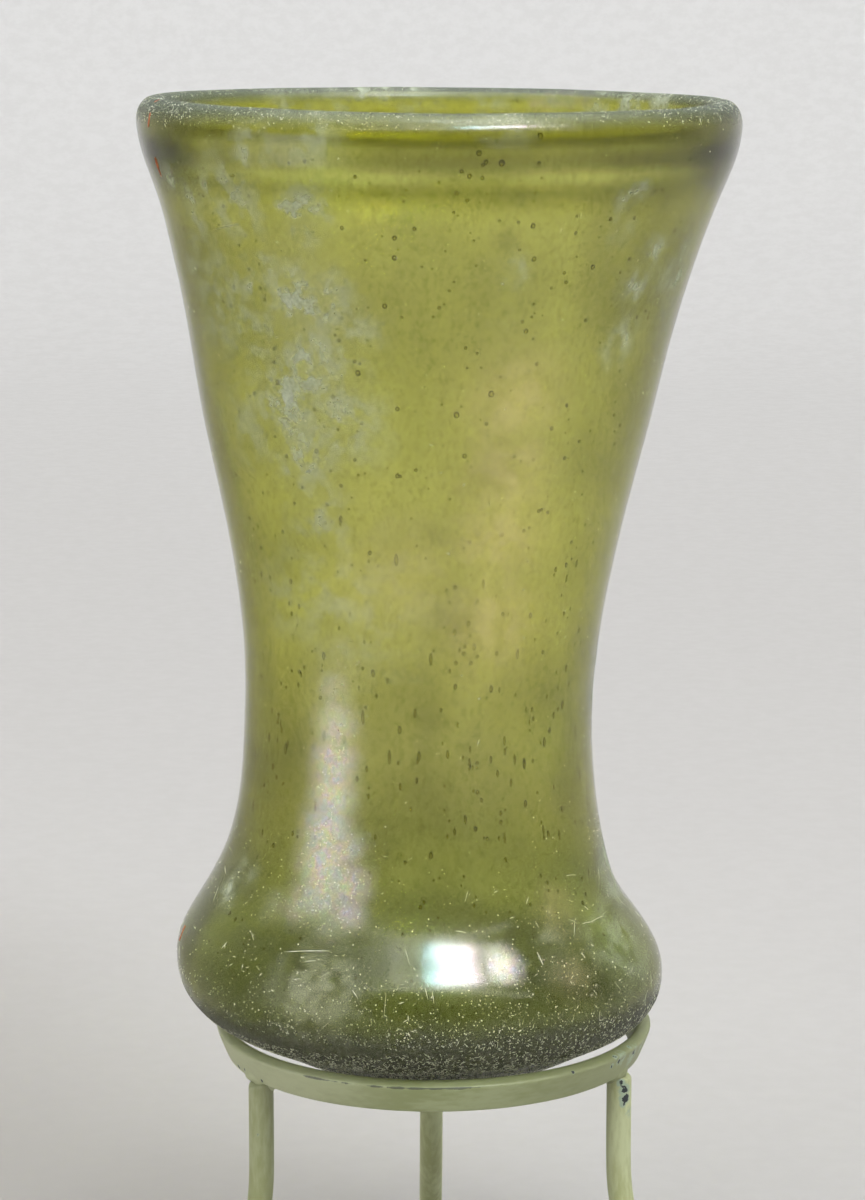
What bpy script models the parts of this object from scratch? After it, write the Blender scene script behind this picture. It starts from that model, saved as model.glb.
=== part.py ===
"""Blown glass bell beaker with a round bottom, resting in a painted ring stand on three legs.

Metres, +Z up. The origin is on the floor, on the axis of the stand's ring, and the front is -Y.
The beaker is one hollow solid. The stand is a ring of flat strip and three rods that carry it.
"""

import math

import bmesh
import bpy
import numpy as np
from mathutils import Vector

# Beaker, with heights above the lowest point of its round bottom
LIP_RADIUS = 0.0401
LIP_HEIGHT = 0.1310
WAIST_RADIUS = 0.0237
WAIST_HEIGHT = 0.0536
BULGE_RADIUS = 0.0334
BULGE_HEIGHT = 0.0182

# The lip is rounded in the fire and thicker than the wall below it. It is a little lower on the
# right and at the front, which fades out downwards
LIP_OUTER_ROUND = 0.0024
LIP_CREST_RISE = 0.0034
LIP_INNER_DROP = 0.0018
LIP_THICKNESS = 0.0044
LIP_SWELL_DEPTH = 0.0095
LIP_TILT = math.radians(0.45)
LIP_FRONT_DIP = 0.0005
LIP_TILT_DEPTH = 0.040

WALL = 0.0018
BASE_THICKNESS = 0.0032

# Stations of the outline: share of the section's height, share of its widening, and how far the
# blown wall has drifted sideways there, in steps of this length
DRIFT_STEP = 0.0001
FLARE = (
    (1.000, 1.000, 7),
    (0.943, 0.949, 7),
    (0.853, 0.782, 5),
    (0.685, 0.564, -3),
    (0.504, 0.393, -9),
    (0.310, 0.181, -12),
    (0.142, 0.043, -16),
    (0.000, 0.000, -21),
)
SHOULDER = (
    (0.703, 0.049, -22),
    (0.463, 0.197, -24),
    (0.270, 0.465, -31),
    (0.121, 0.834, -28),
    (0.000, 1.000, -21),
)
UNDERSIDE = (
    (0.765, 0.987, -15),
    (0.572, 0.905, -8),
    (0.450, 0.773, -2),
    (0.231, 0.542, 0),
    (0.060, 0.285, 0),
    (0.000, 0.000, 0),
)

# Stand: a ring of flat strip that leans outwards, and three rods soldered under it
STAND_HEIGHT = 0.0429
SEAT_RADIUS = 0.0283
STRIP_THICKNESS = 0.0019
STRIP_WIDTH = 0.0042
STRIP_LEAN = math.radians(22.0)
STRIP_EDGE_ROUND = 0.0003
LEG_RADIUS = 0.00175
LEG_STRAIGHT = 0.0123
LEG_BEND_RADIUS = 0.035
LEG_BEND_ANGLE = math.radians(34.0)
LEG_ANGLES = {
    "stand_leg_front_left": math.radians(-57.0),
    "stand_leg_front_right": math.radians(65.0),
    "stand_leg_back": math.radians(180.7),
}

# Gap kept between pieces that touch in the real object
CLEARANCE = 0.0003

# Fineness of the round shapes
BEAKER_SIDES = 46
OUTLINE_STEPS = 2
LIP_STEPS = 4
RING_SIDES = 56
LEG_SIDES = 14
BEND_STEPS = 9

MERGE_DISTANCE = 1e-6
SHARP_ANGLE = math.radians(40.0)


def clear_scene():
    """Removes whatever the open file holds."""
    for obj in list(bpy.data.objects):
        bpy.data.objects.remove(obj, do_unlink=True)


def make_material(name, colour, roughness, transmission=0.0):
    """A Principled material with one colour."""
    material = bpy.data.materials.new(name)
    material.use_nodes = True
    shader = material.node_tree.nodes["Principled BSDF"]
    shader.inputs["Base Color"].default_value = (*colour, 1.0)
    shader.inputs["Roughness"].default_value = roughness
    shader.inputs["Metallic"].default_value = 0.0
    shader.inputs["Transmission Weight"].default_value = transmission
    material.diffuse_color = (*colour, 1.0)
    return material


def add_object(name, mesh_data, material):
    """Turns a bmesh into a smooth-shaded object with its material."""
    bmesh.ops.remove_doubles(mesh_data, verts=mesh_data.verts, dist=MERGE_DISTANCE)
    bmesh.ops.recalc_face_normals(mesh_data, faces=mesh_data.faces)
    mesh = bpy.data.meshes.new(name)
    mesh_data.to_mesh(mesh)
    mesh_data.free()
    mesh.materials.append(material)
    mesh.shade_smooth()
    mesh.set_sharp_from_angle(angle=SHARP_ANGLE)
    obj = bpy.data.objects.new(name, mesh)
    bpy.context.scene.collection.objects.link(obj)
    return obj


def spin_profile(points, sides):
    """Spins a profile of (radius, height) points once round the Z axis into a bmesh."""
    profile = bmesh.new()
    verts = [profile.verts.new((radius, 0.0, height)) for radius, height in points]
    edges = [profile.edges.new(pair) for pair in zip(verts, verts[1:])]
    bmesh.ops.spin(
        profile, geom=verts + edges, cent=(0, 0, 0), axis=(0, 0, 1), steps=sides, angle=math.tau
    )
    return profile


def smooth_through(points, steps):
    """A Catmull-Rom curve through the points, with that many steps from each to the next."""
    rows = np.array(points)
    rows = np.vstack([2 * rows[0] - rows[1], rows, 2 * rows[-1] - rows[-2]])
    curve = []
    for before, start, end, after in zip(rows, rows[1:], rows[2:], rows[3:]):
        for t in np.arange(steps) / steps:
            line = 2 * start + (end - before) * t
            square = (2 * before - 5 * start + 4 * end - after) * t**2
            cube = (3 * start - before - 3 * end + after) * t**3
            curve.append(0.5 * (line + square + cube))
    curve.append(rows[-2])
    return np.array(curve)


def outline_stations():
    """The stations as (radius, height, drift), from the lip down to the middle of the bottom."""
    stations = []
    for height, widening, steps in FLARE:
        radius = WAIST_RADIUS + widening * (LIP_RADIUS - WAIST_RADIUS)
        level = WAIST_HEIGHT + height * (LIP_HEIGHT - WAIST_HEIGHT)
        stations.append((radius, level, steps * DRIFT_STEP))
    for height, widening, steps in SHOULDER:
        radius = WAIST_RADIUS + widening * (BULGE_RADIUS - WAIST_RADIUS)
        level = BULGE_HEIGHT + height * (WAIST_HEIGHT - BULGE_HEIGHT)
        stations.append((radius, level, steps * DRIFT_STEP))
    for height, widening, steps in UNDERSIDE:
        stations.append((widening * BULGE_RADIUS, height * BULGE_HEIGHT, steps * DRIFT_STEP))
    return stations


def wall_thickness(radius, height):
    """Thickness of the wall behind a point of the outline: more at the lip and in the bottom."""
    swell = min(max(1.0 - (LIP_HEIGHT - height) / LIP_SWELL_DEPTH, 0.0), 1.0)
    swell = swell * swell * (3.0 - 2.0 * swell)
    bottom = 1.0 - radius / BULGE_RADIUS if height < BULGE_HEIGHT else 0.0
    return WALL + swell * (LIP_THICKNESS - WALL) + bottom * (BASE_THICKNESS - WALL)


def inner_outline(outer):
    """The outline moved inwards by the wall's thickness, square to the wall."""
    points = []
    for index, (radius, height) in enumerate(outer):
        above = outer[max(index - 1, 0)]
        below = outer[min(index + 1, len(outer) - 1)]
        along = np.array(below) - np.array(above)
        if radius == 0.0:
            along = np.array((-1.0, 0.0))
        if index == 0:
            along = np.array((0.0, -1.0))
        inward = np.array((along[1], -along[0])) / np.hypot(*along)
        moved = np.array((radius, height)) + inward * wall_thickness(radius, height)
        points.append((max(moved[0], 0.0), moved[1]))
    return points


def lip_section(inner_radius, inner_height):
    """The lip from just inside the outline's top, over the crest, down to the inner wall."""
    crest_radius = LIP_RADIUS - LIP_OUTER_ROUND
    crest_height = LIP_HEIGHT + LIP_CREST_RISE
    inner_top = max(crest_height - LIP_INNER_DROP, inner_height)
    points = []
    for step in range(1, LIP_STEPS + 1):
        turn = 0.5 * math.pi * (1.0 - step / LIP_STEPS)
        radius = inner_radius + (crest_radius - inner_radius) * (1.0 - math.cos(turn))
        points.append((radius, inner_top + (crest_height - inner_top) * math.sin(turn)))
    points.reverse()
    for step in range(LIP_STEPS):
        turn = 0.5 * math.pi * (1.0 - step / LIP_STEPS)
        radius = crest_radius + LIP_OUTER_ROUND * math.cos(turn)
        points.append((radius, LIP_HEIGHT + LIP_CREST_RISE * math.sin(turn)))
    return points


def drift_and_tilt(mesh_data, stations):
    """Moves each height of the spun beaker sideways, and lowers its lip to the right and front."""
    heights = [station[1] for station in reversed(stations)]
    drifts = [station[2] for station in reversed(stations)]
    for vert in mesh_data.verts:
        near_lip = min(max(1.0 - (LIP_HEIGHT - vert.co.z) / LIP_TILT_DEPTH, 0.0), 1.0)
        dip = LIP_FRONT_DIP * max(-vert.co.y / LIP_RADIUS, 0.0) ** 2
        lower = near_lip * (vert.co.x * math.tan(LIP_TILT) + dip)
        vert.co.x += np.interp(vert.co.z, heights, drifts)
        vert.co.z -= lower


def seat_height(outer):
    """Height of the beaker's underside where it meets the ring, and the underside's slope there."""
    low = [point for point in outer if point[1] < BULGE_HEIGHT][::-1]
    radii = [point[0] for point in low]
    heights = [point[1] for point in low]
    height, outer_height = np.interp((SEAT_RADIUS, SEAT_RADIUS + STRIP_THICKNESS), radii, heights)
    return float(height), math.atan2(outer_height - height, STRIP_THICKNESS)


def make_beaker(material):
    """The hollow beaker, set on the ring's upper edge."""
    stations = outline_stations()
    curve = smooth_through(stations, OUTLINE_STEPS)
    outer = [(radius, height) for radius, height, drift in curve]
    inner = inner_outline(outer)
    profile = outer[::-1] + lip_section(*inner[0])[::-1] + inner
    mesh_data = spin_profile(profile, BEAKER_SIDES)
    drift_and_tilt(mesh_data, [tuple(row) for row in curve])
    height, slope = seat_height(outer)
    lift = STAND_HEIGHT + CLEARANCE / math.cos(slope) - height
    bmesh.ops.translate(mesh_data, verts=mesh_data.verts, vec=(0.0, 0.0, lift))
    return add_object("beaker", mesh_data, material)


def strip_corners():
    """Corners of the strip's section as (radius, height): the seat edge, then round by the inside."""
    down = Vector((-math.sin(STRIP_LEAN), -math.cos(STRIP_LEAN))) * STRIP_WIDTH
    out = Vector((math.cos(STRIP_LEAN), -math.sin(STRIP_LEAN))) * STRIP_THICKNESS
    seat = Vector((SEAT_RADIUS, STAND_HEIGHT))
    return [seat, seat + down, seat + down + out, seat + out]


def make_ring(material):
    """The strip bent into a ring that widens upwards, with its edges eased."""
    corners = strip_corners()
    profile = []
    for index, corner in enumerate(corners):
        before = (corners[index - 1] - corner).normalized()
        after = (corners[(index + 1) % len(corners)] - corner).normalized()
        profile.append(corner + before * STRIP_EDGE_ROUND)
        profile.append(corner + (before + after) * STRIP_EDGE_ROUND * (1.0 - math.sqrt(0.5)))
        profile.append(corner + after * STRIP_EDGE_ROUND)
    profile.append(profile[0])
    return add_object("stand_ring", spin_profile(profile, RING_SIDES), material)


def leg_path():
    """Axis of a leg as (distance from the stand's axis, height), from the ring to the floor."""
    corners = strip_corners()
    under = 0.5 * (corners[1] + corners[2])
    path = [under.copy()]
    bend_top = under.y - LEG_STRAIGHT
    for step in range(BEND_STEPS + 1):
        turn = LEG_BEND_ANGLE * step / BEND_STEPS
        out = LEG_BEND_RADIUS * (1.0 - math.cos(turn))
        path.append(Vector((under.x + out, bend_top - LEG_BEND_RADIUS * math.sin(turn))))
    last = path[-1]
    path.append(Vector((last.x + last.y * math.tan(LEG_BEND_ANGLE), 0.0)))
    return path


def make_leg(name, angle, material):
    """A round rod: cut to the strip's edge on top, bent outwards, and ground flat on the floor."""
    path = leg_path()
    mesh_data = bmesh.new()
    rings = []
    for index, centre in enumerate(path):
        before = path[max(index - 1, 0)]
        after = path[min(index + 1, len(path) - 1)]
        along = (after - before).normalized()
        across = Vector((-along.y, along.x))
        if index == 0:
            cut = Vector((math.cos(STRIP_LEAN), -math.sin(STRIP_LEAN)))
            centre = centre + Vector((0.0, -CLEARANCE / math.cos(STRIP_LEAN)))
        elif index == len(path) - 1:
            cut = Vector((1.0, 0.0))
        else:
            cut = across
        stretch = 1.0 / abs(cut.dot(across))
        ring = []
        for side in range(LEG_SIDES):
            turn = math.tau * side / LEG_SIDES
            flat = centre + cut * (LEG_RADIUS * stretch * math.cos(turn))
            ring.append(mesh_data.verts.new((flat.x, LEG_RADIUS * math.sin(turn), flat.y)))
        rings.append(ring)
    for upper, lower in zip(rings, rings[1:]):
        for side in range(LEG_SIDES):
            following = (side + 1) % LEG_SIDES
            mesh_data.faces.new((upper[side], upper[following], lower[following], lower[side]))
    mesh_data.faces.new(rings[0])
    mesh_data.faces.new(rings[-1])
    leg = add_object(name, mesh_data, material)
    leg.rotation_euler = (0.0, 0.0, angle - 0.5 * math.pi)
    return leg


def main():
    clear_scene()
    glass = make_material("olive_glass", (0.36, 0.36, 0.10), 0.08, transmission=1.0)
    make_beaker(glass)
    ring_paint = make_material("ring_paint", (0.33, 0.38, 0.19), 0.45)
    make_ring(ring_paint)
    for name, angle in LEG_ANGLES.items():
        leg_paint = make_material(name + "_paint", (0.37, 0.38, 0.18), 0.45)
        make_leg(name, angle, leg_paint)


main()
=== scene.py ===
# %% [markdown]
# A blown glass bell beaker that rests in a painted ring stand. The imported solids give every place
# and size, and this script dresses them: clear olive glass with seed bubbles, the film and the
# scratches that centuries leave on it, and brushed paint on a soldered stand.

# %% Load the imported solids
import functools
import math
import random

import bpy
import numpy as np
from mathutils import Matrix, Quaternion, Vector
from mathutils.bvhtree import BVHTree
from mathutils.noise import fractal


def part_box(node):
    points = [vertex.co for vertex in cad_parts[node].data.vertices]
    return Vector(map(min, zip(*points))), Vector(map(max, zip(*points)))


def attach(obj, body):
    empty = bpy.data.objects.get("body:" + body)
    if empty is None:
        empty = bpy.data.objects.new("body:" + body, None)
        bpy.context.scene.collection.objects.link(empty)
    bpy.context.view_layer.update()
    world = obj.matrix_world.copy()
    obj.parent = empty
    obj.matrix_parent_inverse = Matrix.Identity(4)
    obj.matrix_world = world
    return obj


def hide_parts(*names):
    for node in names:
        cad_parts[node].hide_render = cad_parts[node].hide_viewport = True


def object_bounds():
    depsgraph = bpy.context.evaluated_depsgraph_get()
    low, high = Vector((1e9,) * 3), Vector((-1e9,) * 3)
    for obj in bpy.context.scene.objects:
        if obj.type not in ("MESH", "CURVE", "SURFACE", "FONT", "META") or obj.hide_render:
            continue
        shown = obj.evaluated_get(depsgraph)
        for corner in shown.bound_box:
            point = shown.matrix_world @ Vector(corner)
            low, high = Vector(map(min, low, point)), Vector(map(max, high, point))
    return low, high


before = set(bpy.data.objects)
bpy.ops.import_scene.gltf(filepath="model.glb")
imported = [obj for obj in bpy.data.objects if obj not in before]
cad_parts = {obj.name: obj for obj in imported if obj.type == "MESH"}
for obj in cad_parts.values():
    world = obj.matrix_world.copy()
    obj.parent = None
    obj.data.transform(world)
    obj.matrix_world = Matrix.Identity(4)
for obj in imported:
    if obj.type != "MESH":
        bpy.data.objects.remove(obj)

cad_low, cad_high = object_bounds()
MM = 0.001
UP = Vector((0.0, 0.0, 1.0))
print("solids:", sorted(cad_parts), "box in mm:", [round(x / MM, 1) for x in cad_high - cad_low])

# %% [markdown]
# The camera stands where the photograph was taken. Its height, its pitch and its focal length
# follow from the ellipses of the lip and of the ring, so each piece falls on its own pixels.

# %% Camera
FRAME_WIDTH, FRAME_HEIGHT = 865, 1200
FOCAL_PIXELS = 3480.0
SENSOR_SIZE = 36.0
CAMERA_PLACE = Vector((-0.00017, -0.462, 0.1862))
CAMERA_PITCH = math.radians(10.45)

bpy.ops.object.camera_add(location=CAMERA_PLACE, rotation=(math.pi / 2 - CAMERA_PITCH, 0.0, 0.0))
camera = bpy.context.object
camera.name = "photo_camera"
camera.data.sensor_width = SENSOR_SIZE
camera.data.lens = FOCAL_PIXELS / FRAME_HEIGHT * SENSOR_SIZE
bpy.context.scene.camera = camera
bpy.context.scene.view_settings.view_transform = "Standard"
print("camera lens in mm:", round(camera.data.lens, 1))

light_paths = bpy.context.scene.cycles
light_paths.max_bounces = 8
light_paths.diffuse_bounces = 1
light_paths.glossy_bounces = 4
light_paths.transmission_bounces = 8
light_paths.transparent_max_bounces = 10
light_paths.caustics_reflective = False
light_paths.adaptive_threshold = 0.1


def sight_line(x, y):
    """Direction in which the camera sees a pixel of the photograph."""
    forward = Vector((0.0, math.cos(CAMERA_PITCH), -math.sin(CAMERA_PITCH)))
    up = Vector((0.0, math.sin(CAMERA_PITCH), math.cos(CAMERA_PITCH)))
    right = Vector((1.0, 0.0, 0.0))
    line = forward * FOCAL_PIXELS + right * (x - FRAME_WIDTH / 2) - up * (y - FRAME_HEIGHT / 2)
    return line.normalized()


# %% [markdown]
# Materials are node trees. A few short helpers keep them readable: one adds a node, one feeds a
# socket with a number or a link, and the others are the steps that come back in every finish.

# %% Helpers for node trees
def add_node(tree, kind, **settings):
    """A new node with its settings."""
    node = tree.nodes.new(kind)
    for name, value in settings.items():
        setattr(node, name, value)
    return node


def feed(tree, socket, value):
    """Links a socket to another one, or gives it a plain value."""
    if isinstance(value, bpy.types.NodeSocket):
        tree.links.new(value, socket)
    else:
        socket.default_value = value


def set_inputs(tree, node, **values):
    """Feeds several of a node's sockets. An underscore in a name stands for a space."""
    for name, value in values.items():
        feed(tree, node.inputs[name.replace("_", " ")], value)
    return node.outputs


def calculate(tree, operation, *values, kind="ShaderNodeMath"):
    """A Math node, or another kind that has operations."""
    node = add_node(tree, kind, operation=operation)
    for socket, value in zip(node.inputs, values):
        feed(tree, socket, value)
    return node.outputs[0]


def times(tree, *values):
    """Several masks multiplied together."""
    return functools.reduce(lambda first, second: calculate(tree, "MULTIPLY", first, second), values)


def fade(tree, value, start, end, low=0.0, high=1.0):
    """A soft step from low, where the value is at start, to high, where it is at end."""
    node = add_node(tree, "ShaderNodeMapRange", interpolation_type="SMOOTHSTEP")
    for socket, given in zip(node.inputs[:5], (value, start, end, low, high)):
        feed(tree, socket, given)
    return node.outputs["Result"]


def noise(tree, vector, size, detail=3.0, roughness=0.5):
    """Noise with lumps of about that size, in metres."""
    node = add_node(tree, "ShaderNodeTexNoise")
    scale = 1.0 / size if isinstance(size, float) else calculate(tree, "DIVIDE", 1.0, size)
    return set_inputs(tree, node, Vector=vector, Scale=scale, Detail=detail, Roughness=roughness)["Fac"]


def mix_colours(tree, factor, first, second, blend="MIX"):
    """A colour between two others, or one blended over the other."""
    node = add_node(tree, "ShaderNodeMix", data_type="RGBA", blend_type=blend)
    for index, value in ((0, factor), (6, first), (7, second)):
        feed(tree, node.inputs[index], value)
    return node.outputs[2]


def stretched(tree, vector, factors):
    """Coordinates multiplied along each axis, which stretches a pattern along the smallest."""
    return calculate(tree, "MULTIPLY", vector, factors, kind="ShaderNodeVectorMath")


def axes(tree, vector):
    """The X, Y and Z of a place."""
    return set_inputs(tree, add_node(tree, "ShaderNodeSeparateXYZ"), Vector=vector)


def painted(tree, name):
    """A value that was painted on the piece's points."""
    return add_node(tree, "ShaderNodeAttribute", attribute_name=name).outputs["Fac"]


def start_material(name):
    """A new material: its tree, its Principled shader and the object's coordinates."""
    material = bpy.data.materials.new(name)
    material.use_nodes = True
    tree = material.node_tree
    shader = tree.nodes["Principled BSDF"]
    place = add_node(tree, "ShaderNodeTexCoord").outputs["Object"]
    return material, tree, shader, place


def rgba(red, green, blue):
    """A colour with full alpha."""
    return (red, green, blue, 1.0)


# %% [markdown]
# The stage is a pale round floor whose rim sweeps up into a wall, as in a photographer's cove. It
# closes all round, so each side of the object is seen against the same paper.

# %% Helpers for modelling
def select_only(*objects):
    """Leaves just these objects selected, the first one active."""
    bpy.ops.object.select_all(action="DESELECT")
    for obj in objects:
        obj.select_set(True)
    bpy.context.view_layer.objects.active = objects[0]


def edit_all(obj):
    """Opens one piece in edit mode with all its points selected."""
    select_only(obj)
    bpy.ops.object.mode_set(mode="EDIT")
    bpy.ops.mesh.select_all(action="SELECT")


def new_object(name, data):
    """A linked object that holds a mesh or a curve."""
    obj = bpy.data.objects.new(name, data)
    bpy.context.scene.collection.objects.link(obj)
    return obj


def select_parts(obj, kind, test):
    """Selects the vertices, edges or faces that pass a test, and leaves edit mode on."""
    bpy.ops.object.mode_set(mode="EDIT")
    bpy.ops.mesh.select_all(action="DESELECT")
    bpy.ops.mesh.select_mode(type={"vertices": "VERT", "edges": "EDGE", "polygons": "FACE"}[kind])
    bpy.ops.object.mode_set(mode="OBJECT")
    for part in getattr(obj.data, kind):
        part.select = test(part)
    bpy.ops.object.mode_set(mode="EDIT")


def apply_modifier(obj, kind, **settings):
    """Adds a modifier with its settings and applies it."""
    select_only(obj)
    modifier = obj.modifiers.new(kind.title(), kind)
    for name, value in settings.items():
        setattr(modifier, name, value)
    bpy.ops.object.modifier_apply(modifier=modifier.name)


def add_shape(operator, **settings):
    """Adds a primitive with nothing else selected."""
    bpy.ops.object.select_all(action="DESELECT")
    operator(**settings)
    return bpy.context.object


# %% Stage
STAGE_RADIUS = 1.7
STAGE_WALL = 2.4
COVE_RADIUS = 0.6

stage = add_shape(bpy.ops.mesh.primitive_circle_add, vertices=128, radius=STAGE_RADIUS, fill_type="NGON")
stage.name = "stage_floor"
select_parts(stage, "edges", lambda edge: True)
bpy.ops.mesh.extrude_edges_move(TRANSFORM_OT_translate={"value": (0.0, 0.0, STAGE_WALL)})
bpy.ops.object.mode_set(mode="OBJECT")
corner_edges = {
    edge.index
    for edge in stage.data.edges
    if all(stage.data.vertices[v].co.z < MM for v in edge.vertices)
}
select_parts(stage, "edges", lambda edge: edge.index in corner_edges)
bpy.ops.mesh.bevel(offset=COVE_RADIUS, segments=24, affect="EDGES")
bpy.ops.object.mode_set(mode="OBJECT")
bpy.ops.object.shade_smooth()
print("stage faces:", len(stage.data.polygons))

# %% Paper of the stage
# The paper's tone is painted light and shade: darker near the camera than far off, with a
# painted shadow towards the near left, and darker high up the wall so the glass reflects less there.
PAPER_FAR = rgba(0.775, 0.775, 0.775)
PAPER_NEAR_PAINTED_SHADE = rgba(0.53, 0.52, 0.51)
PAPER_PAINTED_SHADOW = rgba(0.37, 0.355, 0.34)
PAPER_HIGH_PAINTED_SHADE = rgba(0.50, 0.50, 0.50)

paper, tree, shader, place = start_material("stage_paper")
grain = noise(tree, place, 0.004, 4.0)
across = axes(tree, place)
painted_shadow_side = calculate(tree, "ADD", calculate(tree, "MULTIPLY", across["X"], 2.0), across["Y"])
distance = calculate(tree, "ADD", across["Y"], across["Z"])
near = mix_colours(tree, fade(tree, painted_shadow_side, 0.10, -0.15), PAPER_NEAR_PAINTED_SHADE, PAPER_PAINTED_SHADOW)
tone = mix_colours(tree, fade(tree, distance, 0.2, 1.9), near, PAPER_FAR)
tone = mix_colours(tree, fade(tree, across["Z"], 0.7, 1.8), tone, PAPER_HIGH_PAINTED_SHADE)
mottled = fade(tree, noise(tree, place, 0.008, 4.0, 0.7), 0.35, 0.65, 0.0, 0.12)
tone = mix_colours(tree, mottled, tone, rgba(0.46, 0.45, 0.43))
set_inputs(tree, shader, Base_Color=tone, Roughness=fade(tree, grain, 0.3, 0.7, 0.75, 0.9))
stage.data.materials.append(paper)

# %% [markdown]
# Glass shows the room it stands in: a pale sky over the stage and a few lamps. The window high on
# the right leaves the bright patch on the shoulder of the bulge. The film tints its two ends, cool
# and warm, so a coloured lamp lies over each of them, and a faint veil carries it on to the left.
# A lamp overhead lights the lip and the far rim, a strip over the camera draws the thin arc above
# the patch, and a card close by on the left, with a glow round it, the pale streak up the wall.
# These only add their reflection and light no diffuse surface. Two soft lamps light the rest.

# %% Lamps
AIM = Vector((0.0, 0.0, 0.1))
SKY_COLOUR = rgba(1.0, 0.995, 0.985)
SKY_STRENGTH = 2.32


def add_lamp(name, azimuth, elevation, distance, width, height, power, colour=(1.0, 1.0, 1.0)):
    """A rectangular lamp that faces the object. Its azimuth turns from the front towards +X."""
    turn, lift = math.radians(azimuth), math.radians(elevation)
    away = Vector((math.sin(turn) * math.cos(lift), -math.cos(turn) * math.cos(lift), math.sin(lift)))
    bpy.ops.object.light_add(type="AREA", location=AIM + away * distance)
    lamp = bpy.context.object
    lamp.name = name
    lamp.rotation_euler = (-away).to_track_quat("-Z", "Y").to_euler()
    lamp.data.shape = "RECTANGLE"
    lamp.data.size, lamp.data.size_y = width, height
    lamp.data.energy = power
    lamp.data.color = colour
    lamp.visible_camera = False
    return lamp


add_lamp("right_lamp", 34.0, 46.0, 1.2, 0.78, 0.24, 4.6, (0.95, 0.98, 1.0))
left_lamp = add_lamp("left_lamp", -48.0, 28.0, 1.3, 0.90, 0.90, 3.2)
left_lamp.visible_glossy = False
left_lamp.visible_transmission = False
reflections = (
    add_lamp("window", 26.0, 46.0, 1.19, 0.30, 0.165, 5.4, (0.88, 0.95, 1.0)),
    add_lamp("window_cool_side", 12.5, 46.5, 1.18, 0.14, 0.19, 1.6, (0.40, 0.84, 1.0)),
    add_lamp("window_warm_side", 35.6, 46.0, 1.18, 0.12, 0.17, 1.5, (1.0, 0.52, 0.85)),
    add_lamp("window_top", 32.0, 72.0, 1.2, 0.6, 0.6, 10.5, (0.88, 0.96, 1.0)),
    add_lamp("window_veil", -3.0, 46.0, 1.17, 0.26, 0.20, 0.50),
    add_lamp("window_veil_end", -19.0, 46.0, 1.17, 0.34, 0.20, 0.36),
    add_lamp("strip", 5.0, 38.5, 1.3, 3.2, 0.10, 3.4),
    add_lamp("left_card", -53.0, -1.0, 0.30, 0.11, 0.18, 0.08),
    add_lamp("left_glow", -57.0, -1.0, 0.31, 0.27, 0.20, 0.08),
)
for lamp in reflections:
    lamp.visible_diffuse = False

world = bpy.data.worlds.new("studio_air")
bpy.context.scene.world = world
world.use_nodes = True
sky = world.node_tree.nodes["Background"].inputs
sky["Color"].default_value = SKY_COLOUR
sky["Strength"].default_value = SKY_STRENGTH

# %% [markdown]
# The beaker is blown: one bubble of glass, its wall a little uneven, its lip rounded in the fire.
# The solid has flat facets, so a copy is merged, its triangles joined to quads, and Subdivision
# Surface rounds it. Displace with slow noise gives both faces of the wall their waves, and finer
# noise, stretched round the axis, presses in the rings that the tool left as the glass was turned.
# Both only move points into the glass, so that the piece stays inside its solid.

# %% Helpers for points
def point_arrays(obj):
    """Places and normals of a mesh's points."""
    places = np.zeros(len(obj.data.vertices) * 3)
    normals = np.zeros(len(obj.data.vertices) * 3)
    obj.data.vertices.foreach_get("co", places)
    obj.data.vertices.foreach_get("normal", normals)
    return places.reshape(-1, 3), normals.reshape(-1, 3)


def paint_points(obj, name, values):
    """Keeps one value for each point, for a material to read."""
    attribute = obj.data.attributes.new(name, "FLOAT", "POINT")
    attribute.data.foreach_set("value", np.clip(values, 0.0, 1.0).astype(np.float32))


def smooth_step(values, start, end):
    """A soft step from 0 at start to 1 at end."""
    share = np.clip((values - start) / (end - start), 0.0, 1.0)
    return share * share * (3.0 - 2.0 * share)


def cloud_values(places, size, octaves=4):
    """Fractal noise at each place, about -1 to 1."""
    return np.array([fractal(Vector(place) / size, 1.0, 2.0, octaves) for place in places])


# %% Blown glass
WAVE_SIZE = 0.022
WAVE_DEPTH = 0.00022
RING_SIZE = 0.0035
RING_STRETCH = 0.15
RING_DEPTH = 0.00003
QUAD_ANGLE = math.radians(60)


def copy_of_node(name, node_name):
    """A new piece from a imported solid: merged, its triangles joined back into quads."""
    piece = new_object(name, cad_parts[node_name].data.copy())
    edit_all(piece)
    bpy.ops.mesh.customdata_custom_splitnormals_clear()
    bpy.ops.mesh.remove_doubles(threshold=0.01 * MM)
    bpy.ops.mesh.tris_convert_to_quads(face_threshold=QUAD_ANGLE, shape_threshold=QUAD_ANGLE)
    bpy.ops.object.mode_set(mode="OBJECT")
    piece.data.materials.clear()
    return piece


def shade_smooth(piece):
    """Shades a piece smooth."""
    select_only(piece)
    bpy.ops.object.shade_smooth()


glass = copy_of_node("blown_glass", "beaker")
quads = sum(len(face.vertices) == 4 for face in glass.data.polygons)
print("glass quads:", quads, "of", len(glass.data.polygons))
apply_modifier(glass, "SUBSURF", levels=2, render_levels=2)
waves = bpy.data.textures.new("blown_waves", "CLOUDS")
waves.noise_scale = WAVE_SIZE
apply_modifier(
    glass, "DISPLACE", texture=waves, texture_coords="LOCAL", strength=WAVE_DEPTH, mid_level=1.0
)
places, normals = point_arrays(glass)
rings = cloud_values(places * (RING_STRETCH, RING_STRETCH, 1.0), RING_SIZE, 2)
places -= normals * (RING_DEPTH * smooth_step(rings, -0.8, 0.8))[:, None]
glass.data.vertices.foreach_set("co", places.ravel())
shade_smooth(glass)
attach(glass, "root")
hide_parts("beaker")
print("glass faces:", len(glass.data.polygons))

# %% Places on the glass
FRONT_PIXEL = 432, 600
glass_surface = BVHTree.FromObject(glass, bpy.context.evaluated_depsgraph_get())


def seen_on_glass(x, y):
    """The point of the outer wall that the camera sees at a pixel, and its normal."""
    point, normal, face, distance = glass_surface.ray_cast(CAMERA_PLACE, sight_line(x, y))
    return point, normal


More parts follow.
